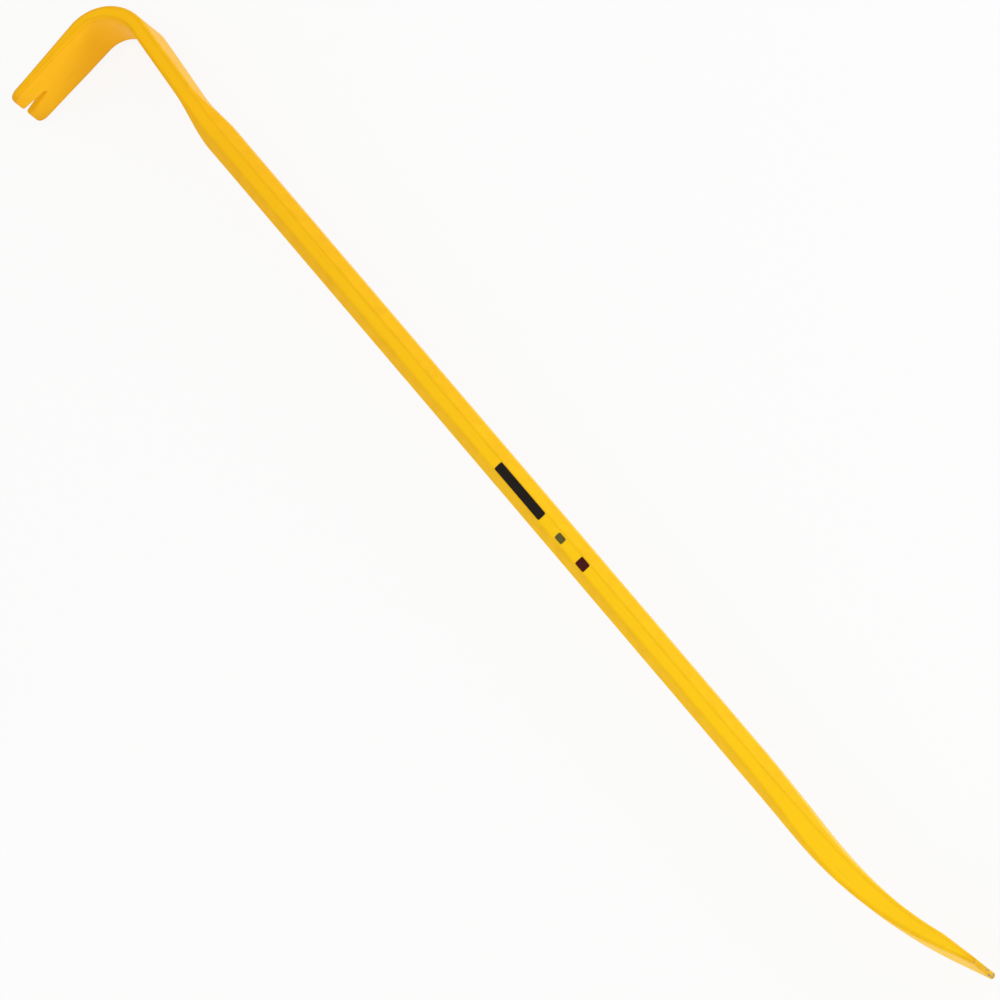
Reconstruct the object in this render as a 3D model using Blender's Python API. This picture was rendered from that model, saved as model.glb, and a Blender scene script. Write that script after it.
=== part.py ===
"""Gooseneck wrecking bar: one steel forging with three blank labels on its shank.

The bar lies on its side. +X runs along the shank to the chisel, the claw turns to -Y,
the chisel leans to +Y, and +Z is the axis of both bends. The origin is the middle of
the bar's footprint, on the surface it lies on.
"""

import math

import bmesh
import bpy
import numpy as np
from mathutils import Matrix, Vector

MM = 0.001

# Octagonal bar stock, and the bar's whole reach along the shank
OVERALL_LENGTH = 914 * MM
ACROSS_FLATS = 19.05 * MM
ARRIS_RADIUS = 1.4 * MM
EDGE_BREAK = 1.2 * MM

# Gooseneck, drawn down flat from the octagon
NECK_SWEEP = math.radians(4.6)
NECK_SWEEP_RADIUS = 262 * MM
NECK_LENGTH = 71.7 * MM
NECK_DRAW_LENGTH = 40 * MM
NECK_THICKNESS = 10.4 * MM
NECK_WIDTH = 25.3 * MM

# Hook and claw
HOOK_TURN = math.radians(99.7)
HOOK_RADIUS = 25.6 * MM
HOOK_THICKNESS = 9.3 * MM
CLAW_LENGTH = 58.9 * MM
CLAW_WIDTH = 41.4 * MM
CLAW_ROOT_THICKNESS = 7.4 * MM
CLAW_TIP_THICKNESS = 4.1 * MM
CLAW_CORNER_RADIUS = 6 * MM

# Nail slot between the claw's two prongs, bevelled on both faces down to a straight land
SLOT_DEPTH = 17 * MM
SLOT_MOUTH = 8 * MM
SLOT_ROOT_RADIUS = 1.4 * MM
SLOT_LAND = 2.6 * MM

# Chisel, drawn down from its back while its heel keeps the sweep's line
CHISEL_TURN = math.radians(21)
CHISEL_RADIUS = 337.5 * MM
CHISEL_LENGTH = 26 * MM
CHISEL_LEAD_LENGTH = 65 * MM
CHISEL_FADE_LENGTH = 108 * MM
CHISEL_FLARE_LENGTH = 84 * MM
CHISEL_BEVEL_LENGTH = 28.6 * MM
CHISEL_BEVEL_THICKNESS = 9.1 * MM
CHISEL_TIP_THICKNESS = 3.8 * MM
CHISEL_WIDTH = 32.8 * MM
CHISEL_CORNER_RADIUS = 2.5 * MM
CHISEL_TAPER_POWER = 1.5

# Blank labels on the shank's upper flat, placed from the neck's end of the shank
LABEL_THICKNESS = 0.2 * MM
LABEL_SEAT_GAP = 0.3 * MM
LABEL_CORNER_RADIUS = 1 * MM
STRIP_LENGTH = 48 * MM
STRIP_WIDTH = 6 * MM
STRIP_FROM_NECK = 333 * MM
GREY_LENGTH = 7 * MM
GREY_WIDTH = 4.4 * MM
GREY_FROM_NECK = 376.7 * MM
RED_LENGTH = 8.6 * MM
RED_WIDTH = 6 * MM
RED_FROM_NECK = 400.7 * MM

# How finely curves and straight runs are divided
ARRIS_STEPS = 2
HOOK_STEPS = 18
NECK_STEPS = 12
CHISEL_STEPS = 26
BEVEL_STEPS = 4
STRAIGHT_STEPS = 2
CORNER_STEPS = 5
SHARP_ANGLE = math.radians(30)
WELD_DISTANCE = 0.01 * MM

# A regular octagon's corner cut, as a share of its width across flats
OCTAGON_SIDES = 8
OCTAGON_SHARE = (1 - math.tan(math.pi / OCTAGON_SIDES)) / 2

# Colours, linear, and roughness
YELLOW = (0.956, 0.552, 0.011, 1.0)
BLACK = (0.012, 0.009, 0.008, 1.0)
GREY = (0.105, 0.090, 0.040, 1.0)
RED = (0.115, 0.010, 0.009, 1.0)
ENAMEL_ROUGHNESS = 0.4
VINYL_ROUGHNESS = 0.45


def clear_scene():
    """Remove every object of the open scene."""
    for thing in list(bpy.data.objects):
        bpy.data.objects.remove(thing, do_unlink=True)


def new_collection(name):
    """Return a new collection linked to the scene."""
    made = bpy.data.collections.new(name)
    bpy.context.scene.collection.children.link(made)
    return made


def new_material(name, colour, roughness):
    """Return a Principled material for a painted or printed surface."""
    made = bpy.data.materials.new(name)
    made.use_nodes = True
    shader = made.node_tree.nodes["Principled BSDF"]
    shader.inputs["Base Color"].default_value = colour
    shader.inputs["Roughness"].default_value = roughness
    shader.inputs["Metallic"].default_value = 0.0
    return made


def ease(share):
    """Run smoothly from 0 to 1 as the share does."""
    share = min(max(share, 0.0), 1.0)
    return share * share * (3 - 2 * share)


def mix(low, high, share):
    """Return the value that lies a share of the way from low to high."""
    return low + (high - low) * share


def corner_loss(from_tip, radius):
    """Return how far a round corner draws each side in, at a distance from the tip."""
    inside = max(radius - from_tip, 0.0)
    return radius - math.sqrt(radius**2 - inside**2)


def walk(pieces, distance):
    """Follow straight and curved pieces from the shank and return x, y and heading."""
    x = y = heading = 0.0
    for length, turn in pieces:
        part = min(distance, length)
        angle = turn * part / length
        chord = part * np.sinc(angle / (2 * math.pi))
        x += chord * math.cos(heading + angle / 2)
        y += chord * math.sin(heading + angle / 2)
        heading += angle
        distance -= part
    return x, y, heading


def section(thickness, width, corner):
    """Return the outline of an eight-sided bar with round arrises, as (across, up) pairs."""
    corner = min(corner, OCTAGON_SHARE * thickness)
    radius = min(ARRIS_RADIUS, corner)
    half_arc = math.pi / OCTAGON_SIDES
    tangent = radius * math.tan(half_arc)
    half_across = thickness / 2
    half_up = width / 2
    quarter = (
        (half_across - radius, half_up - corner - tangent, 0.0),
        (half_across - corner - tangent, half_up - radius, 2 * half_arc),
    )
    points = []
    for side_across, side_up in ((1, 1), (-1, 1), (-1, -1), (1, -1)):
        flipped = side_across * side_up < 0
        ring = []
        for across, up, start in quarter:
            for step in range(ARRIS_STEPS + 1):
                angle = start + 2 * half_arc * step / ARRIS_STEPS
                ring.append((across + radius * math.cos(angle), up + radius * math.sin(angle)))
        ring = reversed(ring) if flipped else ring
        points += [(side_across * across, side_up * up) for across, up in ring]
    return points


def place_section(pieces, distance, outline, shift, mirror):
    """Stand an outline across the spine; shift moves it to the back, mirror faces it to -X."""
    x, y, heading = walk(pieces, distance)
    ring = []
    for across, up in outline:
        back = across + shift
        along = x - back * math.sin(heading)
        ring.append(Vector((mirror * along, y + back * math.cos(heading), up)))
    return ring


def stops(tip_radius, *spans):
    """Return distances from a tip: close together round its corner, then even spans."""
    found = []
    for step in range(CORNER_STEPS):
        found.append(tip_radius * (1 - math.cos(math.pi / 2 * step / CORNER_STEPS)))
    for start, end, steps in spans:
        found += list(np.linspace(start, end, steps, endpoint=False))
    found.append(spans[-1][1])
    return found


HOOK_PIECES = (
    (NECK_SWEEP_RADIUS * NECK_SWEEP, NECK_SWEEP),
    (NECK_LENGTH, 0.0),
    (HOOK_RADIUS * HOOK_TURN, -HOOK_TURN),
    (CLAW_LENGTH, 0.0),
)
CHISEL_PIECES = (
    (CHISEL_LEAD_LENGTH, 0.0),
    (CHISEL_RADIUS * CHISEL_TURN, CHISEL_TURN),
    (CHISEL_LENGTH, 0.0),
)


def spine_length(pieces):
    """Return the length of a run of spine pieces."""
    return sum(length for length, _ in pieces)


def hook_rings():
    """Return the sections from the claw's tip to the shank, which starts at x = 0."""
    whole = spine_length(HOOK_PIECES)
    hook_end = CLAW_LENGTH + HOOK_RADIUS * HOOK_TURN
    drawn = whole - NECK_DRAW_LENGTH
    rings = []
    for from_tip in stops(
        CLAW_CORNER_RADIUS,
        (CLAW_CORNER_RADIUS, CLAW_LENGTH, STRAIGHT_STEPS),
        (CLAW_LENGTH, hook_end, HOOK_STEPS),
        (hook_end, drawn, STRAIGHT_STEPS),
        (drawn, whole, NECK_STEPS),
    ):
        share = ease((from_tip - drawn) / NECK_DRAW_LENGTH)
        flat_thickness = np.interp(
            from_tip,
            (0.0, CLAW_LENGTH, hook_end, drawn),
            (CLAW_TIP_THICKNESS, CLAW_ROOT_THICKNESS, HOOK_THICKNESS, NECK_THICKNESS),
        )
        flat_width = np.interp(from_tip, (CLAW_LENGTH, drawn), (CLAW_WIDTH, NECK_WIDTH))
        thickness = mix(flat_thickness, ACROSS_FLATS, share)
        width = mix(flat_width, ACROSS_FLATS, share)
        width -= 2 * corner_loss(from_tip, CLAW_CORNER_RADIUS)
        corner = mix(EDGE_BREAK, OCTAGON_SHARE * ACROSS_FLATS, share)
        outline = section(thickness, width, corner)
        rings.append(place_section(HOOK_PIECES, whole - from_tip, outline, 0.0, -1))
    return rings


def chisel_rings():
    """Return the sections from the shank, which ends at x = 0, to the chisel's tip."""
    whole = spine_length(CHISEL_PIECES)
    rings = []
    for from_tip in stops(
        CHISEL_CORNER_RADIUS,
        (CHISEL_CORNER_RADIUS, CHISEL_BEVEL_LENGTH, BEVEL_STEPS),
        (CHISEL_BEVEL_LENGTH, whole, CHISEL_STEPS),
    ):
        share = (from_tip - CHISEL_BEVEL_LENGTH) / (whole - CHISEL_BEVEL_LENGTH)
        left = 1 - min(max(share, 0.0), 1.0)
        drawn = mix(ACROSS_FLATS, CHISEL_BEVEL_THICKNESS, left**CHISEL_TAPER_POWER)
        bevel = min(from_tip / CHISEL_BEVEL_LENGTH, 1.0)
        thickness = drawn - mix(CHISEL_BEVEL_THICKNESS - CHISEL_TIP_THICKNESS, 0.0, bevel)
        width = mix(CHISEL_WIDTH, ACROSS_FLATS, ease(from_tip / CHISEL_FLARE_LENGTH))
        width -= 2 * corner_loss(from_tip, CHISEL_CORNER_RADIUS)
        fade = ease((from_tip - whole + CHISEL_FADE_LENGTH) / CHISEL_FADE_LENGTH)
        corner = mix(EDGE_BREAK, OCTAGON_SHARE * ACROSS_FLATS, fade)
        outline = section(thickness, width, corner)
        heel_shift = (thickness - ACROSS_FLATS) / 2
        rings.append(place_section(CHISEL_PIECES, whole - from_tip, outline, heel_shift, 1))
    return rings[::-1]


def loft(name, rings):
    """Return a closed mesh that joins rings of equal count, with flat ends."""
    shape = bmesh.new()
    loops = [[shape.verts.new(point) for point in ring] for ring in rings]
    count = len(loops[0])
    for first, second in zip(loops, loops[1:]):
        for here in range(count):
            after = (here + 1) % count
            shape.faces.new((first[here], first[after], second[after], second[here]))
    shape.faces.new(loops[0])
    shape.faces.new(loops[-1])
    bmesh.ops.recalc_face_normals(shape, faces=shape.faces)
    mesh = bpy.data.meshes.new(name)
    shape.to_mesh(mesh)
    shape.free()
    return mesh


def plate(name, outline, thickness):
    """Return a mesh object of a flat outline, extruded half its thickness each way."""
    curve = bpy.data.curves.new(name, "CURVE")
    curve.dimensions = "2D"
    curve.fill_mode = "BOTH"
    curve.extrude = thickness / 2
    spline = curve.splines.new("POLY")
    spline.points.add(len(outline) - 1)
    for point, (x, y) in zip(spline.points, outline):
        point.co = (x, y, 0.0, 1.0)
    spline.use_cyclic_u = True
    drawn = bpy.data.objects.new(name, curve)
    bpy.context.scene.collection.objects.link(drawn)
    bpy.context.view_layer.update()
    evaluated = drawn.evaluated_get(bpy.context.evaluated_depsgraph_get())
    mesh = bpy.data.meshes.new_from_object(evaluated)
    bpy.data.objects.remove(drawn, do_unlink=True)
    shape = bmesh.new()
    shape.from_mesh(mesh)
    bmesh.ops.remove_doubles(shape, verts=shape.verts, dist=WELD_DISTANCE)
    bmesh.ops.recalc_face_normals(shape, faces=shape.faces)
    shape.to_mesh(mesh)
    shape.free()
    mesh.name = name
    return bpy.data.objects.new(name, mesh)


def rounded_rectangle(length, width, radius):
    """Return the outline of a rectangle with round corners, centred on its middle."""
    points = []
    for quarter, (side_x, side_y) in enumerate(((1, 1), (-1, 1), (-1, -1), (1, -1))):
        for step in range(CORNER_STEPS + 1):
            angle = math.pi / 2 * (quarter + step / CORNER_STEPS)
            x = side_x * (length / 2 - radius) + radius * math.cos(angle)
            y = side_y * (width / 2 - radius) + radius * math.sin(angle)
            points.append((x, y))
    return points


def slot_ring(grown, height):
    """Return the slot grown all round: a V from beyond the tip at x = 0, with a round root."""
    centre = SLOT_DEPTH - SLOT_ROOT_RADIUS
    reach = math.hypot(SLOT_MOUTH / 2, centre)
    slope = math.acos(SLOT_ROOT_RADIUS / reach) - math.atan2(centre, SLOT_MOUTH / 2)
    overrun = CLAW_TIP_THICKNESS
    half_mouth = SLOT_MOUTH / 2 + grown / math.cos(slope) + overrun * math.tan(slope)
    radius = SLOT_ROOT_RADIUS + grown
    widest = math.pi / 2 - slope
    points = [Vector((-overrun, -half_mouth, height))]
    for step in range(2 * CORNER_STEPS + 1):
        angle = mix(-widest, widest, step / (2 * CORNER_STEPS))
        points.append(Vector((centre + radius * math.cos(angle), radius * math.sin(angle), height)))
    points.append(Vector((-overrun, half_mouth, height)))
    return points


def slot_cutter():
    """Return the nail slot's cutter, across the claw: straight at the land, then grown at 45 degrees."""
    x, y, heading = walk(HOOK_PIECES, spine_length(HOOK_PIECES))
    inward = Vector((math.cos(heading), -math.sin(heading), 0.0))
    upward = Vector((0.0, 0.0, 1.0))
    through = inward.cross(upward)
    turned = Matrix((inward, upward, through)).transposed().to_4x4()
    half_land = SLOT_LAND / 2
    clear = CLAW_ROOT_THICKNESS
    rings = [
        slot_ring(clear, -half_land - clear),
        slot_ring(0.0, -half_land),
        slot_ring(0.0, half_land),
        slot_ring(clear, half_land + clear),
    ]
    cutter = bpy.data.objects.new("nail_slot_cutter", loft("nail_slot_cutter", rings))
    cutter.matrix_world = Matrix.Translation((-x, y, 0.0)) @ turned
    cutter.hide_render = True
    cutter.display_type = "WIRE"
    return cutter


def cut_away(piece, cutter):
    """Cut a piece by a cutter and keep the result as the piece's own mesh."""
    cut = piece.modifiers.new("cut", "BOOLEAN")
    cut.operation = "DIFFERENCE"
    cut.solver = "EXACT"
    cut.object = cutter
    bpy.context.view_layer.update()
    evaluated = piece.evaluated_get(bpy.context.evaluated_depsgraph_get())
    mesh = bpy.data.meshes.new_from_object(evaluated)
    piece.modifiers.remove(cut)
    piece.data = mesh


def build():
    """Build the bar and its labels, parented to one empty at the neck's end of the shank."""
    clear_scene()
    parts = new_collection("wrecking_bar")
    cutters = new_collection("cutters")

    hook = hook_rings()
    chisel = chisel_rings()
    hook_reach = -min(point.x for ring in hook for point in ring)
    chisel_reach = max(point.x for ring in chisel for point in ring)
    shank_length = OVERALL_LENGTH - hook_reach - chisel_reach
    chisel = [[point + Vector((shank_length, 0.0, 0.0)) for point in ring] for ring in chisel]
    corners = np.array([point for ring in hook + chisel for point in ring])
    low = corners.min(axis=0)
    high = corners.max(axis=0)

    shank = bpy.data.objects.new("shank_start", None)
    shank.location = (-(low[0] + high[0]) / 2, -(low[1] + high[1]) / 2, -low[2])
    parts.objects.link(shank)

    bar = bpy.data.objects.new("forged_bar", loft("forged_bar", hook + chisel))
    bar.parent = shank
    parts.objects.link(bar)
    cutter = slot_cutter()
    cutter.parent = shank
    cutters.objects.link(cutter)
    cut_away(bar, cutter)
    bar.data.materials.append(new_material("yellow_enamel", YELLOW, ENAMEL_ROUGHNESS))
    bar.data.shade_smooth()
    bar.data.set_sharp_from_angle(angle=SHARP_ANGLE)

    seat = ACROSS_FLATS / 2 + LABEL_SEAT_GAP + LABEL_THICKNESS / 2
    for name, length, width, from_neck, colour in (
        ("name_strip_label", STRIP_LENGTH, STRIP_WIDTH, STRIP_FROM_NECK, BLACK),
        ("grey_label", GREY_LENGTH, GREY_WIDTH, GREY_FROM_NECK, GREY),
        ("red_label", RED_LENGTH, RED_WIDTH, RED_FROM_NECK, RED),
    ):
        label = plate(name, rounded_rectangle(length, width, LABEL_CORNER_RADIUS), LABEL_THICKNESS)
        label.data.materials.append(new_material(name + "_vinyl", colour, VINYL_ROUGHNESS))
        label.location = (from_neck, 0.0, seat)
        label.parent = shank
        parts.objects.link(label)


build()
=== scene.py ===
"""Looks of a gooseneck wrecking bar: a forging in gloss yellow enamel with three blank labels.

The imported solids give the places. A finer surface of the same forging stands for its solid: half of
a section with round arrises is carried along the spine, from the claw's tip to the chisel's tip,
and the other half is its mirror image. Sizes are millimetres until they go into a mesh.
"""

import logging
import math
from dataclasses import dataclass, field, fields
from enum import Enum

import bmesh
import bpy
import numpy as np
from mathutils import Matrix, Vector

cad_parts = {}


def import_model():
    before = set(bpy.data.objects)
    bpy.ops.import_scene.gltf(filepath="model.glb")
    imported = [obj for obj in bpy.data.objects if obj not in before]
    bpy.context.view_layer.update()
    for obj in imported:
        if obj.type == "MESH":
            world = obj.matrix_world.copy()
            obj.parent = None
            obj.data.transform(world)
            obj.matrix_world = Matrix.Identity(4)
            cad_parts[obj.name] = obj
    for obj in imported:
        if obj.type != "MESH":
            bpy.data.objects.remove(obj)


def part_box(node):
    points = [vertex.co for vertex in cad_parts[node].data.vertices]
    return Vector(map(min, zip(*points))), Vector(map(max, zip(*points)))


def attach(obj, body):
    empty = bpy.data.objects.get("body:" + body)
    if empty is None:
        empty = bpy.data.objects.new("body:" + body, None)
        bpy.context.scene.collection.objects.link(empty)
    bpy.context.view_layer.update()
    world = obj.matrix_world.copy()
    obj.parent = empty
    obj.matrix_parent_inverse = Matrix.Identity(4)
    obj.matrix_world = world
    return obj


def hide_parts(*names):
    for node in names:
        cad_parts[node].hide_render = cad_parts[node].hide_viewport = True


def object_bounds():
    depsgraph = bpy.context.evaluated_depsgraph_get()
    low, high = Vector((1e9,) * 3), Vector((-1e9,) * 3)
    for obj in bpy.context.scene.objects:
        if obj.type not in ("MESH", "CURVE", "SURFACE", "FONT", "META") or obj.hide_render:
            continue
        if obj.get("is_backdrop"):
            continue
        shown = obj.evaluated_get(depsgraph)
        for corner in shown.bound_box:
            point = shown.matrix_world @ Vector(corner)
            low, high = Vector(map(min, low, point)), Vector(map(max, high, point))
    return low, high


Array = np.ndarray
Colour = tuple[float, float, float, float]
Socket = bpy.types.NodeSocket
Tree = bpy.types.NodeTree

MM = 0.001
BODY = "root"
log = logging.getLogger("wrecking_bar")

# The sRGB curve: a straight foot below the knee, and a power curve above it
SRGB_KNEE = 0.04045
SRGB_FOOT = 12.92
SRGB_OFFSET = 0.055
SRGB_POWER = 2.4

# A regular octagon's corner cut, as a share of its width across flats
OCTAGON_SIDES = 8
HALF_ARC = math.pi / OCTAGON_SIDES
OCTAGON_SHARE = (1 - math.tan(HALF_ARC)) / 2

# The Mix node's sockets for colours, which share their names with its other kinds of socket
MIX_SHARE = 0
MIX_LOW = 6
MIX_HIGH = 7
MIX_RESULT = 2

WHITE = (1.0, 1.0, 1.0, 1.0)

# Points that are closer than this many mm are welded
WELD = 0.001

# How finely the surfaces are divided
ARC_STEPS = 6
FACE_STEPS = 6
TIP_STEPS = 9
SLOT_STEPS = 12
CLAW_STEPS = 8
HOOK_STEPS = 40
NECK_STEPS = 14
DRAW_STEPS = 26
SHANK_STEPS = 90
CHISEL_STEPS = 60
BEVEL_STEPS = 12
LABEL_STEPS = 24


def linear(hex_colour: str) -> Colour:
    """Turn an sRGB hex colour into linear light.

    Args:
        hex_colour: a colour such as "#FABC17".

    Returns:
        Its red, green and blue in linear light, and an alpha of one.
    """
    channels = np.array(list(bytes.fromhex(hex_colour.lstrip("#")))) / 255
    curve = ((channels + SRGB_OFFSET) / (1 + SRGB_OFFSET)) ** SRGB_POWER
    red, green, blue = np.where(channels <= SRGB_KNEE, channels / SRGB_FOOT, curve)
    return float(red), float(green), float(blue), 1.0


def per_mm(size: float) -> float:
    """Return the texture scale at which a pattern's features are this many mm across."""
    return 1 / (size * MM)


def add_node(
    tree: Tree, kind: str, inputs: dict | None = None, output: str | int = 0, **settings: object
) -> Socket | None:
    """Add a node with its settings, its values and its links.

    Args:
        tree: the node tree that takes the node.
        kind: the node's type, without the prefix that all of them share.
        inputs: a value or a linked socket for each input, by its name or number.
        output: the name or number of the output to return.
        settings: the node's own properties.

    Returns:
        The output's socket, or None if the node has no outputs.
    """
    node = tree.nodes.new("ShaderNode" + kind)
    for name, value in settings.items():
        setattr(node, name, value)
    for socket, value in (inputs or {}).items():
        if isinstance(value, Socket):
            tree.links.new(value, node.inputs[socket])
        else:
            node.inputs[socket].default_value = value
    return node.outputs[output] if node.outputs else None


def new_material(name: str) -> tuple[bpy.types.Material, Tree]:
    """Start a material with no nodes.

    Args:
        name: the material's name.

    Returns:
        The material and its node tree.
    """
    made = bpy.data.materials.new(name)
    made.use_nodes = True
    made.node_tree.nodes.clear()
    return made, made.node_tree


def end_material(tree: Tree, grain: Socket, height: float, look: dict[str, object]) -> None:
    """End a material with a surface that its grain raises.

    Args:
        tree: the material's node tree.
        grain: the pattern that raises the surface, from nought to one.
        height: how far it raises the surface, in mm.
        look: the shader's other inputs, by their names.
    """
    bump = add_node(tree, "Bump", {"Height": grain, "Distance": height * MM, "Strength": 1.0})
    shader = add_node(tree, "BsdfPrincipled", look | {"Normal": bump})
    add_node(tree, "OutputMaterial", {"Surface": shader})


def seen_directly(tree: Tree) -> Socket:
    """Tell the rays that look at the room from those that only light it.

    Args:
        tree: the node tree.

    Returns:
        A socket that is one for rays from the camera, a reflection or a clear body.
    """
    seen: float | Socket = 0.0
    for ray in ("Is Camera Ray", "Is Glossy Ray", "Is Transmission Ray"):
        from_there = add_node(tree, "LightPath", output=ray)
        seen = add_node(tree, "Math", {0: seen, 1: from_there}, operation="MAXIMUM")
    return seen


def ease(share: Array) -> Array:
    """Run smoothly from 0 to 1 as the share does: share squared times three less twice the share."""
    share = np.clip(share, 0.0, 1.0)
    return share * share * (3 - 2 * share)


def mix(low: float | Array, high: float | Array, share: float | Array) -> float | Array:
    """Return the value that lies a share of the way from low to high."""
    return low + (high - low) * share


def round_loss(from_tip: Array, radius: float) -> Array:
    """Return how far a round of this radius draws a side in: the radius less a circle's height.

    Args:
        from_tip: distances from the tip in mm.
        radius: the round's radius in mm.

    Returns:
        The loss at each distance, the whole radius at the tip and nothing past the round.
    """
    inside = np.maximum(radius - from_tip, 0.0)
    return radius - np.sqrt(radius**2 - inside**2)


def round_stops(radius: float) -> Array:
    """Return distances from a tip round a corner: its radius times one less even angles' cosines."""
    return radius * (1 - np.cos(np.linspace(0, math.pi / 2, TIP_STEPS)))


@dataclass(frozen=True)
class Run:
    """One straight or evenly curved run of a spine: its length in mm and its turn in radians."""

    length: float
    turn: float = 0.0


def walk(runs: tuple[Run, ...], distance: Array) -> tuple[Array, Array, Array]:
    """Follow a spine from its start: each run's chord points halfway through the run's turn.

    The chord of a run is its length times sin(turn / 2) / (turn / 2).

    Args:
        runs: the spine's runs, in order.
        distance: distances along the spine in mm, as an array of any shape.

    Returns:
        The x, y and heading at each distance.
    """
    x, y, heading = (np.zeros_like(distance) for _ in range(3))
    left = distance
    for run in runs:
        part = np.clip(left, 0.0, run.length)
        angle = run.turn * part / run.length
        chord = part * np.sinc(angle / math.tau)
        x = x + chord * np.cos(heading + angle / 2)
        y = y + chord * np.sin(heading + angle / 2)
        heading = heading + angle
        left = left - part
    return x, y, heading


def spine_length(runs: tuple[Run, ...]) -> float:
    """Return the length of a spine."""
    return sum(run.length for run in runs)


@dataclass
class Sections:
    """Sections along the bar, one to a station, as arrays: their places and sizes in mm.

    The gap is half the slot's width at the section's faces. Tip is one at a tip and fades to nought
    on the way to the shank, and bare is one at the chisel's edge and fades sooner.
    """

    x: Array
    y: Array
    heading: Array
    thickness: Array
    width: Array
    corner: Array
    shift: Array
    gap: Array
    tip: Array
    bare: Array

    def take(self, rows: Array) -> "Sections":
        """Return the sections with these numbers, in this order."""
        return Sections(*(getattr(self, item.name)[rows] for item in fields(self)))

    def then(self, after: "Sections") -> "Sections":
        """Return these sections followed by others."""
        pairs = ((getattr(self, item.name), getattr(after, item.name)) for item in fields(self))
        return Sections(*(np.concatenate(pair) for pair in pairs))

    def place(self, across: Array, up: Array) -> Array:
        """Stand outlines across the spine: across runs square to the heading, and up along +Z.

        Args:
            across: stations by points, measured to the back of the bar.
            up: stations by points.

        Returns:
            Stations by points by three coordinates.
        """
        back = across + self.shift[:, None]
        x = self.x[:, None] - back * np.sin(self.heading)[:, None]
        y = self.y[:, None] + back * np.cos(self.heading)[:, None]
        return np.stack((x, y, up), axis=-1)


@dataclass(frozen=True)
class Stock:
    """Octagonal bar stock, and how its edges are broken, in mm."""

    across_flats: float = 19.05
    arris_radius: float = 1.4
    edge_break: float = 1.2
    tip_round: float = 1.2
    # How far from a tip the enamel is rubbed
    worn_reach: float = 16.0
    # How far inside a face its outer rows stand, and the most as a share of the face, for crisp shading
    edge_margin: float = 1.5
    margin_share: float = 0.4

    @property
    def octagon_corner(self) -> float:
        """The corner cut of a regular octagon of this stock."""
        return OCTAGON_SHARE * self.across_flats

    def edge_radius(self, thickness: Array) -> Array:
        """The round of an edge, which a thin section limits."""
        return np.minimum(self.edge_break, OCTAGON_SHARE * thickness)

    def tip_share(self, from_tip: Array) -> Array:
        """One at a tip, fading to nought over the reach that wears."""
        return 1 - np.clip(from_tip / self.worn_reach, 0.0, 1.0)

    def half_outline(self, sections: Sections) -> tuple[Array, Array, Array]:
        """Draw the upper half of each section, from its back face round its side to its front face.

        A section is a rectangle with its corners cut off and each end of a cut rounded by an
        eighth of a circle. A quarter runs up the back face, round both ends of the cut and along
        the side to its middle, and the front quarter is its mirror image.

        Args:
            sections: the sections to draw.

        Returns:
            The outline's across, up and arris values, stations by points; arris is one on a round
            edge and nought on a flat.
        """
        half_across = sections.thickness[:, None] / 2
        half_up = sections.width[:, None] / 2
        corner = np.minimum(sections.corner[:, None], 2 * OCTAGON_SHARE * half_across)
        radius = np.minimum(self.arris_radius, corner)
        tangent = radius * math.tan(HALF_ARC)
        angle = np.linspace(0, 2 * HALF_ARC, ARC_STEPS + 1)
        gap = sections.gap[:, None]
        face_end = half_up - corner - tangent
        side_end = half_across - corner - tangent
        margin = np.minimum(self.edge_margin, self.margin_share * (face_end - gap))
        face_up = mix(gap + margin, face_end - margin, np.linspace(0, 1, FACE_STEPS - 1))
        face_up = np.concatenate((gap, face_up), axis=1)
        side_margin = np.minimum(self.edge_margin, self.margin_share * side_end)
        across = np.concatenate(
            (
                np.broadcast_to(half_across, face_up.shape),
                half_across - radius + radius * np.cos(angle),
                side_end + radius * np.cos(angle + 2 * HALF_ARC),
                side_end - side_margin,
            ),
            axis=1,
        )
        up = np.concatenate(
            (
                face_up,
                face_end + radius * np.sin(angle),
                half_up - radius + radius * np.sin(angle + 2 * HALF_ARC),
                half_up,
            ),
            axis=1,
        )
        on_arc = np.zeros(across.shape[1])
        on_arc[FACE_STEPS:-1] = 1.0
        middle = np.zeros_like(half_up)
        across = np.concatenate((across, middle, -across[:, ::-1]), axis=1)
        up = np.concatenate((up, half_up, up[:, ::-1]), axis=1)
        arris = np.broadcast_to(np.concatenate((on_arc, (0.0,), on_arc[::-1])), up.shape)
        return across, up, arris


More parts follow.
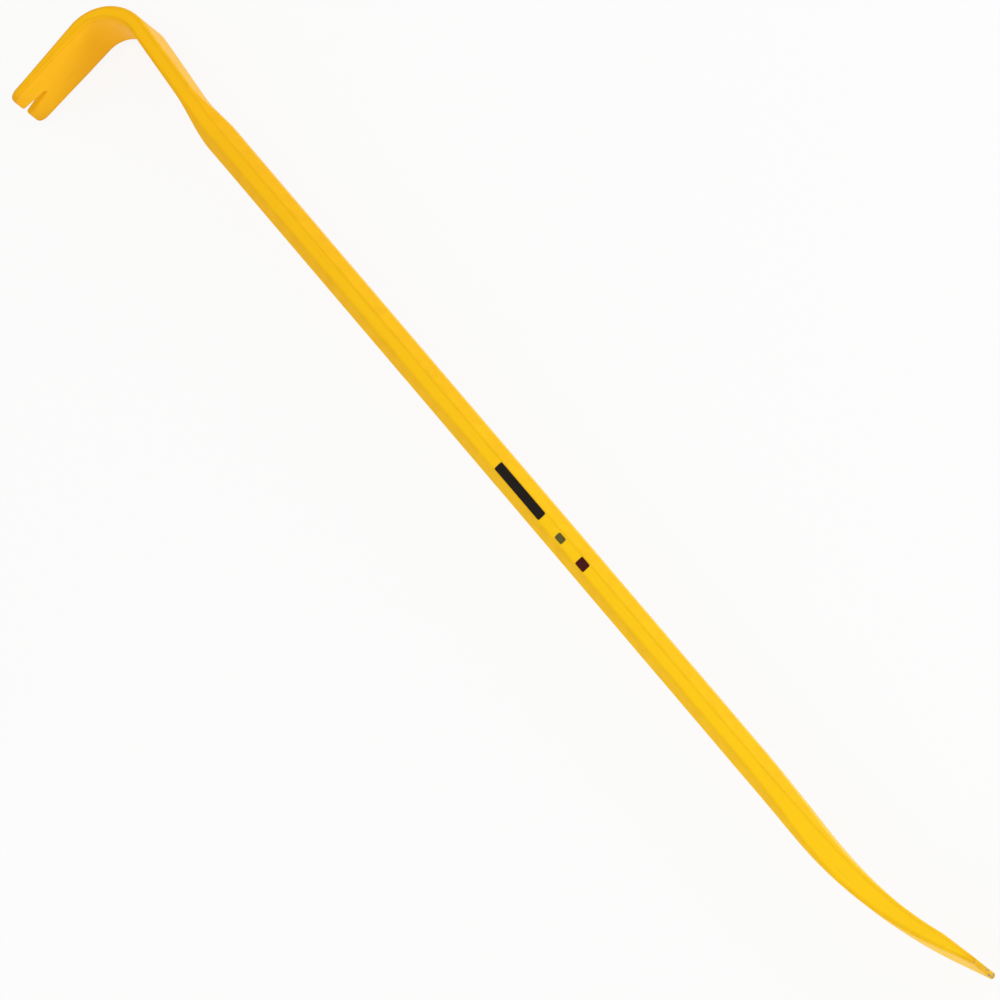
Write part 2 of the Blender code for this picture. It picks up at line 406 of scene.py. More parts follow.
@dataclass(frozen=True)
class NailSlot:
    """The V between the claw's prongs, closed by a round root, in mm."""

    depth: float = 17.0
    mouth: float = 8.0
    root_radius: float = 1.4
    mouth_round: float = 1.4

    @property
    def centre(self) -> float:
        """The root circle's distance from the claw's tip."""
        return self.depth - self.root_radius

    @property
    def slope(self) -> float:
        """The lean of each wall, which touches the root circle and ends at the mouth."""
        reach = math.hypot(self.mouth / 2, self.centre)
        return math.acos(self.root_radius / reach) - math.atan2(self.centre, self.mouth / 2)

    def stations(self, tip_radius: float, edge: float) -> Array:
        """Return distances from the tip to the end of the root's round edge.

        Args:
            tip_radius: radius of the prong's corner, which needs close stations.
            edge: radius of the round edge at the root.

        Returns:
            Rising distances: close round the corner, even along the wall, by angle round the root.
        """
        turn = np.linspace(self.slope, math.pi / 2, SLOT_STEPS)
        root = self.centre + (self.root_radius + edge) * np.sin(turn)
        wall = np.linspace(tip_radius, root[0], SLOT_STEPS)
        return np.unique(np.concatenate((round_stops(tip_radius), wall, root)))

    def border(self, from_tip: Array, edge: Array) -> tuple[Array, Array]:
        """Find where the slot's round edge leaves the claw's face.

        Along the wall the border lies one edge radius outside it, in a direction that turns from
        straight across at the mouth to square to the wall at the root. Round the root it is a
        circle one edge radius larger than the root's.

        Args:
            from_tip: distances from the claw's tip.
            edge: the round edge's radius at each distance.

        Returns:
            Half the border's width, nought past the root, and the direction's angle.
        """
        border_radius = self.root_radius + edge
        wall_end = self.centre + border_radius * math.sin(self.slope)
        wall_angle = self.slope * np.clip(from_tip / wall_end, 0.0, 1.0)
        wall_place = from_tip - edge * np.sin(wall_angle)
        wall = self.mouth / 2 - wall_place * math.tan(self.slope) + round_loss(from_tip, self.mouth_round)
        root_angle = np.arcsin(np.clip((from_tip - self.centre) / border_radius, 0.0, 1.0))
        on_wall = from_tip < wall_end
        gap = np.where(on_wall, wall + edge * np.cos(wall_angle), border_radius * np.cos(root_angle))
        past = from_tip > self.centre + border_radius * (1 - WELD)
        return np.where(past, 0.0, gap), np.where(on_wall, wall_angle, root_angle)


@dataclass(frozen=True)
class Gooseneck:
    """The neck drawn down flat from the octagon, the hook and the slotted claw, in mm."""

    sweep: float = math.radians(4.6)
    sweep_radius: float = 262.0
    neck_length: float = 71.7
    draw_length: float = 40.0
    neck_thickness: float = 10.4
    neck_width: float = 25.3
    turn: float = math.radians(99.7)
    radius: float = 25.6
    hook_thickness: float = 9.3
    claw_length: float = 58.9
    claw_width: float = 41.4
    root_thickness: float = 7.4
    tip_thickness: float = 4.1
    corner_radius: float = 6.0
    slot: NailSlot = NailSlot()

    @property
    def runs(self) -> tuple[Run, ...]:
        """The spine from the shank to the claw's tip."""
        return (
            Run(self.sweep_radius * self.sweep, self.sweep),
            Run(self.neck_length),
            Run(self.radius * self.turn, -self.turn),
            Run(self.claw_length),
        )

    @property
    def hook_end(self) -> float:
        """The distance from the claw's tip at which the hook's bend ends."""
        return self.claw_length + self.radius * self.turn

    @property
    def flat_end(self) -> float:
        """The distance from the claw's tip at which the flat bar starts to grow into the octagon."""
        return spine_length(self.runs) - self.draw_length

    def spine(self, from_tip: Array) -> tuple[Array, Array, Array]:
        """Return x, y and heading at distances from the claw's tip; the shank starts at x = 0."""
        x, y, heading = walk(self.runs, spine_length(self.runs) - from_tip)
        return -x, y, -heading

    def flat_thickness(self, from_tip: Array) -> Array:
        """Work out the drawn-down thickness, which grows in straight runs from tip to neck.

        Args:
            from_tip: distances from the claw's tip.

        Returns:
            The thickness at each distance.
        """
        places = (0.0, self.claw_length, self.hook_end, self.flat_end)
        sizes = (self.tip_thickness, self.root_thickness, self.hook_thickness, self.neck_thickness)
        return np.interp(from_tip, places, sizes)

    def sections(self, stock: Stock) -> Sections:
        """Size the sections from the claw's tip to the shank.

        The flat bar's sizes run in straight lines, and over the last stretch they ease into the
        octagon's. A round at the tip draws in both the width and the thickness.

        Args:
            stock: the bar stock.

        Returns:
            The sections, from the tip to the shank.
        """
        slot_stations = self.slot.stations(self.corner_radius, stock.edge_break)
        from_tip = np.concatenate(
            (
                slot_stations,
                np.linspace(slot_stations[-1], self.claw_length, CLAW_STEPS)[1:],
                np.linspace(self.claw_length, self.hook_end, HOOK_STEPS)[1:],
                np.linspace(self.hook_end, self.flat_end, NECK_STEPS)[1:],
                np.linspace(self.flat_end, spine_length(self.runs), DRAW_STEPS)[1:],
            )
        )
        share = ease((from_tip - self.flat_end) / self.draw_length)
        thickness = mix(self.flat_thickness(from_tip), stock.across_flats, share)
        thickness = thickness - 2 * round_loss(from_tip, stock.tip_round)
        places = (self.claw_length, self.flat_end)
        flat_width = np.interp(from_tip, places, (self.claw_width, self.neck_width))
        width = mix(flat_width, stock.across_flats, share)
        gap, _ = self.slot.border(from_tip, stock.edge_radius(thickness))
        x, y, heading = self.spine(from_tip)
        return Sections(
            x=x,
            y=y,
            heading=heading,
            thickness=thickness,
            width=width - 2 * round_loss(from_tip, self.corner_radius),
            corner=mix(stock.edge_break, stock.octagon_corner, share),
            shift=np.zeros_like(from_tip),
            gap=gap,
            tip=stock.tip_share(from_tip),
            bare=np.zeros_like(from_tip),
        )

    def slot_wall(self, stock: Stock) -> tuple[Array, dict[str, Array]]:
        """Carry the slot's wall, with its two round edges, along half of the slot.

        The profile starts on the back face, turns a quarter circle down into the slot, crosses
        the plate and turns back out on to the front face. A row with no thickness closes the tip.

        Args:
            stock: the bar stock.

        Returns:
            Stations by points by three coordinates, and the marks of the points: their arris value,
            and their place on the bar before it was bent.
        """
        from_tip = self.slot.stations(self.corner_radius, stock.edge_break)
        from_tip = np.concatenate((from_tip[:1], from_tip))[:, None]
        thickness = self.flat_thickness(from_tip) - 2 * round_loss(from_tip, stock.tip_round)
        edge = stock.edge_radius(thickness)
        gap, angle = self.slot.border(from_tip, edge)
        bend = np.linspace(0, math.pi / 2, ARC_STEPS + 1)
        bend_run = edge * np.sin(bend)
        bend_across = thickness / 2 - edge * (1 - np.cos(bend))
        run = np.concatenate((bend_run, edge, bend_run[:, ::-1]), axis=1)
        across = np.concatenate((bend_across, 0 * edge, -bend_across[:, ::-1]), axis=1)
        across[0] = 0.0
        from_tip = from_tip - run * np.sin(angle)
        x, y, heading = self.spine(from_tip)
        up = gap - run * np.cos(angle)
        points = np.stack((x - across * np.sin(heading), y + across * np.cos(heading), up), axis=-1)
        arris = np.ones(across.shape[1])
        arris[[0, ARC_STEPS + 1, -1]] = 0.0
        return points, {"arris": arris, "run": from_tip, "across": across, "up": up}


@dataclass(frozen=True)
class Chisel:
    """The leaning chisel, drawn down from its back while its heel keeps the sweep's line, in mm."""

    turn: float = math.radians(21)
    radius: float = 337.5
    length: float = 26.0
    lead_length: float = 65.0
    fade_length: float = 108.0
    flare_length: float = 84.0
    bevel_length: float = 28.6
    bevel_thickness: float = 9.1
    tip_thickness: float = 3.8
    width: float = 32.8
    corner_radius: float = 2.5
    taper_power: float = 1.5
    # Half the run over which the bevel's crease is rounded
    crease: float = 1.2
    # How far from the tip the enamel is chipped
    bare_reach: float = 5.0

    @property
    def runs(self) -> tuple[Run, ...]:
        """The spine from the shank to the chisel's tip."""
        return Run(self.lead_length), Run(self.radius * self.turn, self.turn), Run(self.length)

    def sections(self, stock: Stock) -> Sections:
        """Size the sections from the shank, which ends at x = 0, to the chisel's tip.

        The thickness falls from the stock's by a power of the way to the bevel, then in a straight
        line down the bevel. The width eases out to the chisel's over its flare.

        Args:
            stock: the bar stock.

        Returns:
            The sections, from the shank to the tip.
        """
        whole = spine_length(self.runs)
        from_tip = np.unique(
            np.concatenate(
                (
                    round_stops(self.corner_radius),
                    np.linspace(self.corner_radius, self.bevel_length - self.crease, BEVEL_STEPS),
                    np.linspace(self.bevel_length + self.crease, whole, CHISEL_STEPS),
                )
            )
        )[::-1]
        left = 1 - np.clip((from_tip - self.bevel_length) / (whole - self.bevel_length), 0.0, 1.0)
        drawn = mix(stock.across_flats, self.bevel_thickness, left**self.taper_power)
        bevel = 1 - np.minimum(from_tip / self.bevel_length, 1.0)
        thickness = drawn - (self.bevel_thickness - self.tip_thickness) * bevel
        width = mix(self.width, stock.across_flats, ease(from_tip / self.flare_length))
        fade = ease((from_tip - whole + self.fade_length) / self.fade_length)
        x, y, heading = walk(self.runs, whole - from_tip)
        return Sections(
            x=x,
            y=y,
            heading=heading,
            thickness=thickness - 2 * round_loss(from_tip, stock.tip_round),
            width=width - 2 * round_loss(from_tip, self.corner_radius),
            corner=mix(stock.edge_break, stock.octagon_corner, fade),
            shift=(thickness - stock.across_flats) / 2,
            gap=np.zeros_like(from_tip),
            tip=stock.tip_share(from_tip),
            bare=1 - np.minimum(from_tip / self.bare_reach, 1.0),
        )


class Half(Enum):
    """The two halves of the bar, which are mirror images across its middle plane."""

    UPPER = 1.0
    LOWER = -1.0


class Mark(Enum):
    """The three marks on the shank, by the nodes that they stand for."""

    NAME_STRIP = "name_strip_label"
    GREY = "grey_label"
    RED = "red_label"


class Surface:
    """A mesh made of grids of points in mm that meet along shared edges."""

    def __init__(self) -> None:
        """Start with no grids."""
        self.points: list[Array] = []
        self.faces: list[Array] = []
        self.marks: dict[str, list[Array]] = {}
        self.count = 0

    def add_grid(self, points: Array, closed: bool = False, **marks: Array) -> None:
        """Add a grid, with a face between each four neighbours.

        Args:
            points: rows by columns by three coordinates.
            closed: whether the last column joins the first.
            marks: named values, one to a point.
        """
        rows, columns = points.shape[:2]
        number = self.count + np.arange(rows * columns).reshape(rows, columns)
        if closed:
            number = np.concatenate((number, number[:, :1]), axis=1)
        corners = (number[:-1, :-1], number[:-1, 1:], number[1:, 1:], number[1:, :-1])
        self.faces.append(np.stack(corners, axis=-1).reshape(-1, len(corners)))
        self.points.append(points.reshape(-1, 3))
        for name, values in marks.items():
            self.marks.setdefault(name, []).append(np.broadcast_to(values, (rows, columns)).ravel())
        self.count += rows * columns

    def build(self, name: str) -> bpy.types.Object:
        """Weld the grids into one mesh with its faces outward, and link it as an object.

        Args:
            name: the piece's name.

        Returns:
            The piece, at the origin with its place in its mesh.
        """
        mesh = bpy.data.meshes.new(name)
        mesh.from_pydata(np.concatenate(self.points) * MM, [], np.concatenate(self.faces))
        for mark, values in self.marks.items():
            attribute = mesh.attributes.new(mark, "FLOAT", "POINT")
            attribute.data.foreach_set("value", np.concatenate(values).astype(np.float32))
        shape = bmesh.new()
        shape.from_mesh(mesh)
        bmesh.ops.remove_doubles(shape, verts=shape.verts, dist=WELD * MM)
        bmesh.ops.recalc_face_normals(shape, faces=shape.faces)
        shape.to_mesh(mesh)
        shape.free()
        mesh.shade_smooth()
        piece = bpy.data.objects.new(name, mesh)
        bpy.context.scene.collection.objects.link(piece)
        return piece


@dataclass(frozen=True)
class GlossEnamel:
    """Gloss enamel sprayed on forged steel and baked, in a warm yellow.

    It flows out to a smooth film with a fine orange peel, so it shows soft broad reflections. The
    film draws thin over sharp arrises and rubs thin at the working tips, where it looks deeper. It
    is chipped to the steel along the chisel's edge, and handling leaves faint dull scuffs.
    """

    name: str = "gloss_yellow_enamel"
    claw_colour: str = "#FCBD0C"
    chisel_colour: str = "#FECC12"
    cloud_colour: str = "#F4B106"
    thin_colour: str = "#D08A0C"
    scuff_colour: str = "#E2AA1E"
    steel_colour: str = "#A39A84"
    roughness: float = 0.42
    roughness_swing: float = 0.10
    specular: float = 0.09
    # How far along the bar, from the claw, the yellow has become the chisel's
    warm_share: float = 0.6
    cloud_share: float = 0.18
    thin_share: float = 0.40
    rub_share: float = 0.65
    scuff_share: float = 0.30
    scuff_dulling: float = 0.25
    # Levels of the scuffs' noise at which one starts and is whole
    scuff_levels: tuple[float, float] = (0.58, 0.74)
    # How much the chips' noise adds to the bare edge, and the levels at which a chip starts and is whole
    chip_share: float = 1.2
    chip_levels: tuple[float, float] = (1.66, 1.70)
    # Sizes of the patterns in mm; real orange peel is under 1 mm and is drawn coarser, to show
    cloud_size: float = 55.0
    smear_size: float = 9.0
    chip_size: float = 3.5
    scuff_size: tuple[float, float, float] = (24.0, 1.3, 1.3)
    peel_size: float = 1.6
    peel_height: float = 0.06
    # How many finer layers each pattern's noise has
    cloud_detail: float = 2.0
    smear_detail: float = 4.0
    chip_detail: float = 3.0
    scuff_detail: float = 3.0
    peel_detail: float = 1.0

    def material(self, claw_x: float, chisel_x: float) -> bpy.types.Material:
        """Make the enamel: the claw's yellow, with each change to it laid over the one before.

        Args:
            claw_x: the claw's end of the bar in m, where the yellow is warmest.
            chisel_x: the chisel's end of the bar in m.

        Returns:
            The material.
        """
        made, tree = new_material(self.name)
        place = add_node(tree, "TexCoord", output="Object")
        arris, tip, bare = (
            add_node(tree, "Attribute", output="Fac", attribute_name=mark)
            for mark in ("arris", "tip", "bare")
        )
        cloud, smear, chip, peel = (
            add_node(tree, "TexNoise", {"Vector": place, "Scale": per_mm(size), "Detail": detail})
            for size, detail in (
                (self.cloud_size, self.cloud_detail),
                (self.smear_size, self.smear_detail),
                (self.chip_size, self.chip_detail),
                (self.peel_size, self.peel_detail),
            )
        )
        x = add_node(tree, "SeparateXYZ", {0: place}, "X")
        warm_end = mix(claw_x, chisel_x, self.warm_share)
        along = add_node(tree, "MapRange", {"Value": x, "From Min": claw_x, "From Max": warm_end})
        clouded = add_node(tree, "Math", {0: cloud, 1: self.cloud_share}, operation="MULTIPLY")
        drawn = add_node(tree, "Math", {0: arris, 1: self.thin_share}, operation="MULTIPLY")
        worn = add_node(tree, "Math", {0: tip, 1: tip}, operation="MULTIPLY")
        rubbed = add_node(tree, "Math", {0: worn, 1: self.rub_share, 2: drawn}, operation="MULTIPLY_ADD")
        thin = add_node(tree, "Math", {0: rubbed, 1: smear}, operation="MULTIPLY")
        scuff = self.scuffs(tree)
        scuffed = add_node(tree, "Math", {0: scuff, 1: self.scuff_share}, operation="MULTIPLY")
        chipped = add_node(tree, "Math", {0: chip, 1: self.chip_share, 2: bare}, operation="MULTIPLY_ADD")
        low, high = self.chip_levels
        steel = add_node(tree, "MapRange", {"Value": chipped, "From Min": low, "From Max": high})

        film: Colour | Socket = linear(self.claw_colour)
        for share, colour in (
            (along, self.chisel_colour),
            (clouded, self.cloud_colour),
            (thin, self.thin_colour),
            (scuffed, self.scuff_colour),
            (steel, self.steel_colour),
        ):
            layers = {MIX_SHARE: share, MIX_LOW: film, MIX_HIGH: linear(colour)}
            film = add_node(tree, "Mix", layers, MIX_RESULT, data_type="RGBA")

        smoothest = self.roughness - self.roughness_swing / 2
        smears = {0: smear, 1: self.roughness_swing, 2: smoothest}
        smeared = add_node(tree, "Math", smears, operation="MULTIPLY_ADD")
        dulling = {0: scuff, 1: self.scuff_dulling, 2: smeared}
        look = {
            "Base Color": film,
            "Metallic": steel,
            "Roughness": add_node(tree, "Math", dulling, operation="MULTIPLY_ADD"),
            "Specular IOR Level": self.specular,
        }
        end_material(tree, peel, self.peel_height, look)
        return made

    def scuffs(self, tree: Tree) -> Socket:
        """Draw the scuffs: the peaks of a noise that is stretched along the bar and bends with it.

        Args:
            tree: the node tree.

        Returns:
            The socket of how scuffed the film is, from nought to one.
        """
        ways = (
            add_node(tree, "Attribute", output="Fac", attribute_name=way) for way in ("run", "across", "up")
        )
        unbent = add_node(tree, "CombineXYZ", dict(enumerate(ways)))
        scale = tuple(1 / size for size in self.scuff_size)
        stretched = add_node(tree, "Mapping", {"Vector": unbent, "Scale": scale})
        noise = add_node(tree, "TexNoise", {"Vector": stretched, "Scale": 1.0, "Detail": self.scuff_detail})
        low, high = self.scuff_levels
        return add_node(tree, "MapRange", {"Value": noise, "From Min": low, "From Max": high})


@dataclass(frozen=True)
class VinylFilm:
    """Self-adhesive vinyl film with a satin face, die cut.

    It is matt and even, with a fine calendered grain and a little fading in patches.
    """

    name: str
    colour: str
    faded_colour: str
    fade_share: float = 0.5
    # The roughness of film that hasn't faded, and how much fading can add to it
    roughness: float = 0.25
    roughness_swing: float = 0.25
    specular: float = 0.2
    # Sizes in mm; the real grain is far finer and is drawn coarser, to show
    patch_size: float = 5.0
    grain_size: float = 0.7
    grain_height: float = 0.02
    # How many finer layers each pattern's noise has
    detail: float = 2.0

    def material(self) -> bpy.types.Material:
        """Make the film: one colour that fades and dulls in patches.

        Returns:
            The material.
        """
        made, tree = new_material(self.name)
        place = add_node(tree, "TexCoord", output="Object")
        patch, grain = (
            add_node(tree, "TexNoise", {"Vector": place, "Scale": per_mm(size), "Detail": self.detail})
            for size in (self.patch_size, self.grain_size)
        )
        faded = add_node(tree, "Math", {0: patch, 1: self.fade_share}, operation="MULTIPLY")
        layers = {MIX_SHARE: faded, MIX_LOW: linear(self.colour), MIX_HIGH: linear(self.faded_colour)}
        colour = add_node(tree, "Mix", layers, MIX_RESULT, data_type="RGBA")
        dulling = {0: patch, 1: self.roughness_swing, 2: self.roughness}
        roughness = add_node(tree, "Math", dulling, operation="MULTIPLY_ADD")
        look = {"Base Color": colour, "Roughness": roughness, "Specular IOR Level": self.specular}
        end_material(tree, grain, self.grain_height, look)
        return made


@dataclass(frozen=True)
class Ripple:
    """Slight waves that forging and rolling leave in the steel, in mm."""

    count: int = 9
    shortest: float = 24.0
    longest: float = 80.0
    forged_height: float = 0.16
    rolled_height: float = 0.05
    fade: float = 60.0
    seed: int = 7

    def height(self, points: Array, shank: tuple[float, float]) -> Array:
        """Work out the height of the waves: a mean of sines, each with its own way and length.

        Args:
            points: places in mm, points by three coordinates.
            shank: x of the shank's two ends in mm; outside them the bar is forged.

        Returns:
            The height at each point, in mm.
        """
        draw = np.random.default_rng(self.seed)
        ways = draw.normal(size=(self.count, 3))
        ways /= np.linalg.norm(ways, axis=1, keepdims=True)
        lengths = draw.uniform(self.shortest, self.longest, (self.count, 1))
        phases = draw.uniform(0, math.tau, self.count)
        waves = np.sin(points @ (math.tau * ways / lengths).T + phases).mean(axis=1)
        outside = np.maximum(shank[0] - points[:, 0], points[:, 0] - shank[1])
        return waves * mix(self.rolled_height, self.forged_height, ease(1 + outside / self.fade))


@dataclass
class ForgedBar:
    """The whole bar: gooseneck with claw, shank and chisel, forged from one length of stock."""

    node: str = "forged_bar"
    name: str = "enamelled_bar"
    slot_name: str = "yellow_enamel"
    strip_from_neck: float = 333.0
    stock: Stock = Stock()
    gooseneck: Gooseneck = Gooseneck()
    chisel: Chisel = Chisel()
    ripple: Ripple = Ripple()
    enamel: GlossEnamel = GlossEnamel()
    shank: tuple[float, float] = field(init=False, default=(0.0, 0.0))

    def locate(self) -> Vector:
        """Find the neck's end of the shank, from the strip label and the bar's own box.

        Returns:
            Its place on the bar's middle line, in mm.
        """
        low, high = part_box(Mark.NAME_STRIP.value)
        strip = (low + high) / 2 / MM
        low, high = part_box(self.node)
        return Vector((strip.x - self.strip_from_neck, strip.y, (low.z + high.z) / 2 / MM))

    def all_sections(self, shank_length: float) -> Sections:
        """Return the bar's sections from the claw's tip to the chisel's tip.

        The shank repeats the gooseneck's last section at even steps.

        Args:
            shank_length: length of the octagonal shank in mm.

        Returns:
            The sections, with the shank's start at x = 0.
        """
        hook = self.gooseneck.sections(self.stock)
        chisel = self.chisel.sections(self.stock)
        chisel.x = chisel.x + shank_length
        shank = hook.take(np.full(SHANK_STEPS, -1))
        shank.x = np.linspace(0, shank_length, SHANK_STEPS + 2)[1:-1]
        return hook.then(shank).then(chisel)

    def build(self) -> bpy.types.Object:
        """Carry the half section along the spine, add the slot's wall, and mirror both.

        A last row with no thickness closes each tip. Each point's marks hold its place on the bar
        before it was bent: its run along the spine, and across and up in its section.

        Returns:
            The bar, as one closed mesh.
        """
        start = self.locate()
        chisel = self.chisel.sections(self.stock)
        across, up, _ = self.stock.half_outline(chisel)
        reach = chisel.place(across, up)[..., 0].max()
        _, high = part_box(self.node)
        shank_length = high.x / MM - start.x - reach
        self.shank = (start.x, start.x + shank_length)

        sections = self.all_sections(shank_length)
        last = len(sections.x) - 1
        sections = sections.take(np.concatenate(((0,), np.arange(last + 1), (last,))))
        across, up, arris = self.stock.half_outline(sections)
        across[[0, -1]] = 0.0
        half = sections.place(across, up)
        steps = np.hypot(np.diff(sections.x), np.diff(sections.y))
        run = np.concatenate(((0.0,), np.cumsum(steps)))
        marks = {"arris": arris, "run": run[:, None], "across": across, "up": up}
        wall, wall_marks = self.gooseneck.slot_wall(self.stock)

        surface = Surface()
        for side in Half:
            mirror = np.array((1.0, 1.0, side.value))
            for grid, grid_marks in ((half, marks), (wall, wall_marks)):
                turned = grid_marks | {"up": grid_marks["up"] * side.value}
                # The slot's wall has the same stations as the first of the sections
                wear = {mark: getattr(sections, mark)[: len(grid), None] for mark in ("tip", "bare")}
                surface.add_grid(grid * mirror + start, **turned, **wear)
        piece = surface.build(self.name)
        self.forge(piece.data)
        return piece

    def forge(self, mesh: bpy.types.Mesh) -> None:
        """Move each point along its normal by the height of the forging's waves.

        Args:
            mesh: the bar's mesh.
        """
        points = np.empty(3 * len(mesh.vertices), np.float32)
        normals = np.empty_like(points)
        mesh.vertices.foreach_get("co", points)
        mesh.vertex_normals.foreach_get("vector", normals)
        height = self.ripple.height(points.reshape(-1, 3) / MM, self.shank)
        points += normals * np.repeat(height * MM, 3).astype(np.float32)
        mesh.vertices.foreach_set("co", points)
        mesh.update()

    def dress(self, piece: bpy.types.Object) -> None:
        """Give the bar its enamel, and let it stand for its solid.

        Args:
            piece: the built bar.
        """
        low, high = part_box(self.node)
        piece.data.materials.append(self.enamel.material(low.x, high.x))
        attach(piece, BODY)
        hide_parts(self.node)


@dataclass
class Label:
    """A blank label on the shank's upper flat; its outline is its solid's, and sizes are in mm."""

    mark: Mark
    slot_name: str
    film: VinylFilm
    flat: float
    corner_radius: float = 1.0
    proud: float = 0.25
    sunk: float = 0.2
    edge_round: float = 0.08
    # The share of the way to the edge at which the face's own rows end
    face_share: float = 0.9

    @property
    def name(self) -> str:
        """The piece's name."""
        return self.mark.value + "_film"

    def outline(self, length: float, width: float) -> tuple[Array, Array]:
        """Draw the label's round-cornered outline and the line that it draws in to.

        Each quarter is a run along the long side and a quarter circle; the line is the outline's
        points brought to the middle across and kept a corner's radius from the ends.

        Args:
            length: along the shank.
            width: across the shank.

        Returns:
            The outline's and the line's points, points by two coordinates.
        """
        reach = np.array((length, width)) / 2 - self.corner_radius
        run = np.linspace(-reach[0], reach[0], LABEL_STEPS, endpoint=False)
        turn = np.linspace(0, math.pi / 2, ARC_STEPS, endpoint=False)
        side = np.stack((run, np.full_like(run, -width / 2)), axis=-1)
        corner = np.stack((np.sin(turn), -np.cos(turn)), axis=-1) * self.corner_radius
        corner = corner + (reach[0], -reach[1])
        end_corner = np.stack((np.cos(turn), np.sin(turn)), axis=-1) * self.corner_radius + reach
        half = np.concatenate((side, corner, end_corner))
        outline = np.concatenate((half, -half))
        line = np.stack((np.clip(outline[:, 0], -reach[0], reach[0]), 0 * outline[:, 1]), axis=-1)
        return outline, line

    def build(self, bar: ForgedBar) -> bpy.types.Object:
        """Carry the label's profile round its outline, and lay it on the flat.

        The profile runs from the middle line out over the face, round the edge, down the side and
        back to the middle line under the flat. The face follows the steel's waves.

        Args:
            bar: the bar that carries the label.

        Returns:
            The label, as one closed mesh.
        """
        low, high = (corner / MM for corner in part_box(self.mark.value))
        outline, line = self.outline(high.x - low.x, high.y - low.y)
        bend = np.linspace(0, math.pi / 2, ARC_STEPS)
        inset = self.edge_round * (1 - np.sin(bend))
        face = np.linspace(0, self.face_share, FACE_STEPS)
        reach = np.concatenate((face, np.ones(ARC_STEPS), (1.0, 0.0)))
        inset = np.concatenate((np.zeros(FACE_STEPS), inset, (0.0, 0.0)))
        drop = np.concatenate(
            (np.zeros(FACE_STEPS), self.edge_round * (1 - np.cos(bend)), np.full(2, self.proud + self.sunk))
        )
        away = outline - line
        away_length = np.linalg.norm(away, axis=1, keepdims=True)
        share = reach[:, None, None] - inset[:, None, None] / away_length
        flat_points = line + away * share + np.array(((low.x + high.x) / 2, (low.y + high.y) / 2))
        up = np.broadcast_to((self.flat + self.proud - drop)[:, None, None], (*flat_points.shape[:2], 1))
        points = np.concatenate((flat_points, up), axis=-1)
        points[..., 2] += bar.ripple.height(points.reshape(-1, 3), bar.shank).reshape(points.shape[:2])
        surface = Surface()
        surface.add_grid(points, closed=True)
        return surface.build(self.name)

    def dress(self, piece: bpy.types.Object) -> None:
        """Give the label its film, and let it stand for its solid.

        Args:
            piece: the built label.
        """
        piece.data.materials.append(self.film.material())
        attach(piece, BODY)
        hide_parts(self.mark.value)


@dataclass(frozen=True)
class StudioFloor:
    """A pale floor that keeps a faint shadow, and reaches the horizon of a low view."""

    name: str = "studio_floor"
    colour: str = "#EAEAE8"
    radius: float = 14000.0
    below: float = 0.2
    rings: int = 12
    spokes: int = 96
    # The share of plain white that the camera and reflections see, beside the lit floor
    white_share: float = 0.87

    def build(self) -> bpy.types.Object:
        """Lay the floor: a disc whose rings widen by the square of their number.

        Returns:
            The floor, marked as stage.
        """
        radius = self.radius * np.linspace(0, 1, self.rings)[:, None] ** 2
        angle = np.linspace(0, math.tau, self.spokes, endpoint=False)
        x, y = radius * np.cos(angle), radius * np.sin(angle)
        surface = Surface()
        surface.add_grid(np.stack((x, y, np.full_like(x, -self.below)), axis=-1), closed=True)
        piece = surface.build(self.name)
        piece.data.materials.append(self.material())
        piece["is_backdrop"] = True
        return piece

    def material(self) -> bpy.types.Material:
        """Make the floor's matt paint, which cameras and reflections see partly as plain white.

        Returns:
            The material.
        """
        made, tree = new_material("matt_white_paint")
        paint = add_node(tree, "BsdfDiffuse", {"Color": linear(self.colour)})
        white = add_node(tree, "Emission", {"Color": WHITE, "Strength": 1.0})
        share = add_node(tree, "Math", {0: seen_directly(tree), 1: self.white_share}, operation="MULTIPLY")
        shader = add_node(tree, "MixShader", {0: share, 1: paint, 2: white})
        add_node(tree, "OutputMaterial", {"Surface": shader})
        return made


@dataclass(frozen=True)
class SoftLamp:
    """A round soft lamp that points at the bar's middle; its place and size are in mm.

    Its level is the brightness that it alone gives a white surface that faces it.
    """

    name: str
    level: float
    place: tuple[float, float, float]
    size: float = 900.0

    def build(self) -> None:
        """Hang the lamp: its power is its level times pi squared times its distance squared."""
        place = Vector(self.place) * MM
        lamp = bpy.data.lights.new(self.name, "AREA")
        lamp.shape = "DISK"
        lamp.size = self.size * MM
        lamp.energy = self.level * math.pi**2 * place.length_squared
        hung = bpy.data.objects.new(self.name, lamp)
        hung.matrix_world = Matrix.Translation(place) @ place.to_track_quat("Z", "Y").to_matrix().to_4x4()
        bpy.context.scene.collection.objects.link(hung)


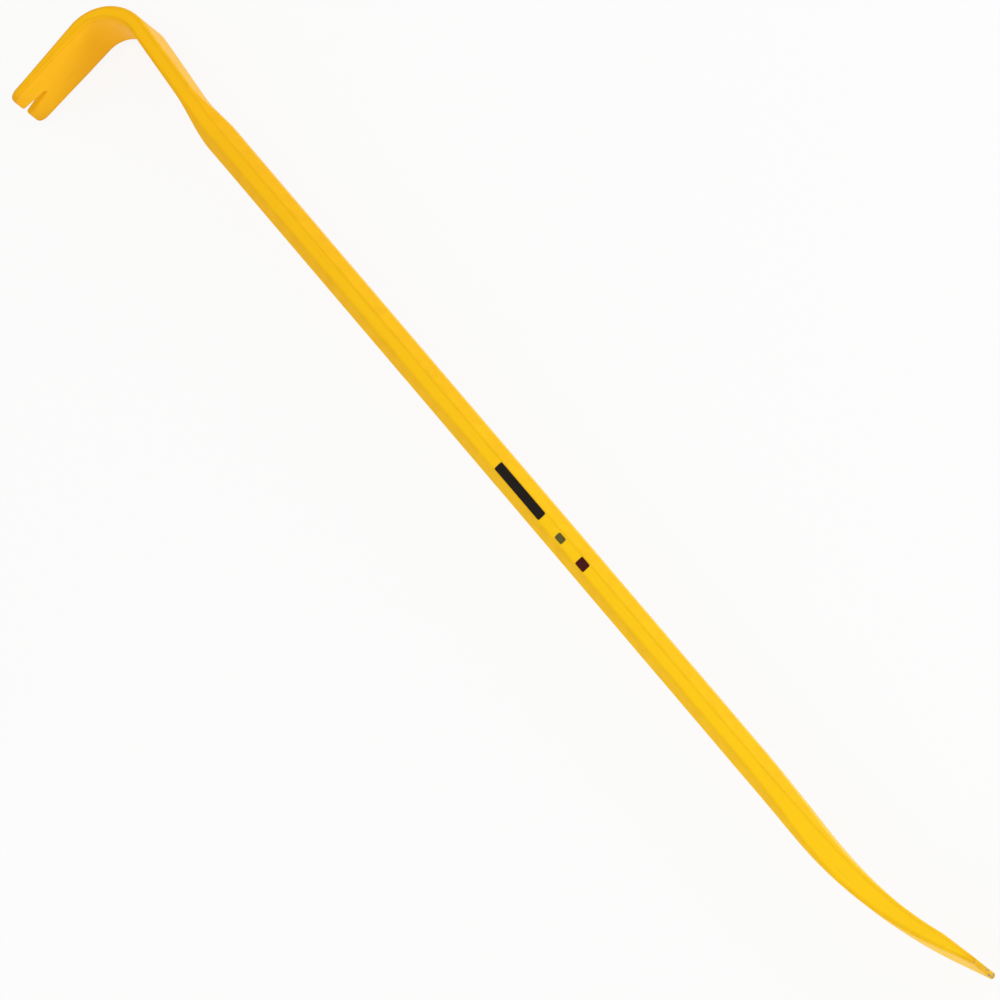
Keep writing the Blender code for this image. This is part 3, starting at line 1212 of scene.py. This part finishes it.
@dataclass(frozen=True)
class StudioLight:
    """Even light from all round, a low key lamp behind the bar's back and a fill on the hook's side.

    The white walls that show behind the bar darken to a dim ceiling, which gloss reflects.
    """

    ambient: float = 0.785
    backdrop: float = 1.0
    ceiling: float = 0.25
    # Sines of the angles above the horizon at which the walls end and the ceiling starts
    wall_top: float = math.sin(math.radians(15))
    ceiling_edge: float = math.sin(math.radians(53))
    lamps: tuple[SoftLamp, ...] = (
        SoftLamp("key_lamp", 0.36, (500.0, 1800.0, 720.0)),
        SoftLamp("fill_lamp", 0.20, (1430.0, -1520.0, 990.0)),
    )

    def build(self) -> None:
        """Set the world and hang the lamps."""
        world = bpy.data.worlds.new("studio_world")
        world.use_nodes = True
        tree = world.node_tree
        tree.nodes.clear()
        way = add_node(tree, "TexCoord", output="Generated")
        walls = {
            "Value": add_node(tree, "SeparateXYZ", {0: way}, "Z"),
            "From Min": self.wall_top,
            "From Max": self.ceiling_edge,
            "To Min": self.backdrop,
            "To Max": self.ceiling,
        }
        room = add_node(tree, "MapRange", walls, interpolation_type="SMOOTHSTEP")
        around = add_node(tree, "Background", {"Color": WHITE, "Strength": self.ambient})
        behind = add_node(tree, "Background", {"Color": WHITE, "Strength": room})
        shader = add_node(tree, "MixShader", {0: seen_directly(tree), 1: around, 2: behind})
        add_node(tree, "OutputWorld", {"Surface": shader})
        bpy.context.scene.world = world

        for lamp in self.lamps:
            lamp.build()


@dataclass(frozen=True)
class PhotoCamera:
    """The photograph's view: a long lens over the chisel's end, rolled so that the bar runs down."""

    lens: float = 1000.0
    sensor: float = 36.0
    image_px: float = 1000.0
    px_per_mm: float = 1.6811
    turn: float = math.radians(32.393)
    lean: float = math.radians(6.014)
    roll: float = math.radians(49.600)
    middle_px: tuple[float, float] = (494.38, 527.65)
    near: float = 0.1
    far: float = 100.0

    def build(self, middle: Vector) -> None:
        """Place the camera so that the bar's middle falls on its pixel.

        The view direction turns from +Z towards +X and leans towards +Y. The image's right and
        down are the shank's direction and the claw's, seen square to the view and rolled. The
        camera stands off by the image's width in mm times the lens's length over the sensor's.

        Args:
            middle: the bar's middle in m.
        """
        toward = Vector(
            (
                math.sin(self.turn),
                math.cos(self.turn) * math.sin(self.lean),
                math.cos(self.turn) * math.cos(self.lean),
            )
        )
        along = Vector((1.0, 0.0, 0.0))
        along = (along - toward * along.dot(toward)).normalized()
        clawward = along.cross(toward)
        right = along * math.cos(self.roll) - clawward * math.sin(self.roll)
        down = along * math.sin(self.roll) + clawward * math.cos(self.roll)
        distance = self.lens / self.sensor * self.image_px / self.px_per_mm
        off_right, off_down = ((px - self.image_px / 2) / self.px_per_mm for px in self.middle_px)
        place = middle + (toward * distance - right * off_right - down * off_down) * MM
        data = bpy.data.cameras.new("photo_camera")
        data.lens = self.lens
        data.sensor_width = self.sensor
        data.clip_start = self.near
        data.clip_end = self.far
        camera = bpy.data.objects.new("photo_camera", data)
        turned = Matrix((right, -down, toward)).transposed().to_4x4()
        camera.matrix_world = Matrix.Translation(place) @ turned
        bpy.context.scene.collection.objects.link(camera)
        bpy.context.scene.camera = camera


def report(piece: bpy.types.Object) -> None:
    """Log a piece's name and how many faces it has."""
    log.info("%s: %d faces", piece.name, len(piece.data.polygons))


def main() -> None:
    """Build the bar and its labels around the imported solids, then the studio."""
    logging.basicConfig(level=logging.INFO, format="%(name)s: %(message)s")
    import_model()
    cad_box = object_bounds()

    bar = ForgedBar()
    bar_piece = bar.build()
    bar.dress(bar_piece)
    report(bar_piece)

    flat = bar.locate().z + bar.stock.across_flats / 2
    for label in (
        Label(Mark.NAME_STRIP, "black_vinyl", VinylFilm("black_vinyl_film", "#1A1512", "#2A2019"), flat),
        Label(Mark.GREY, "grey_vinyl", VinylFilm("olive_vinyl_film", "#5C5328", "#6E6432"), flat),
        Label(Mark.RED, "red_vinyl", VinylFilm("dark_red_vinyl_film", "#44090A", "#561412"), flat),
    ):
        piece = label.build(bar)
        label.dress(piece)
        report(piece)

    report(StudioFloor().build())
    StudioLight().build()
    low, high = cad_box
    PhotoCamera().build((low + high) / 2)
    bpy.context.scene.view_settings.view_transform = "Standard"


if __name__ == "__main__":
    main()
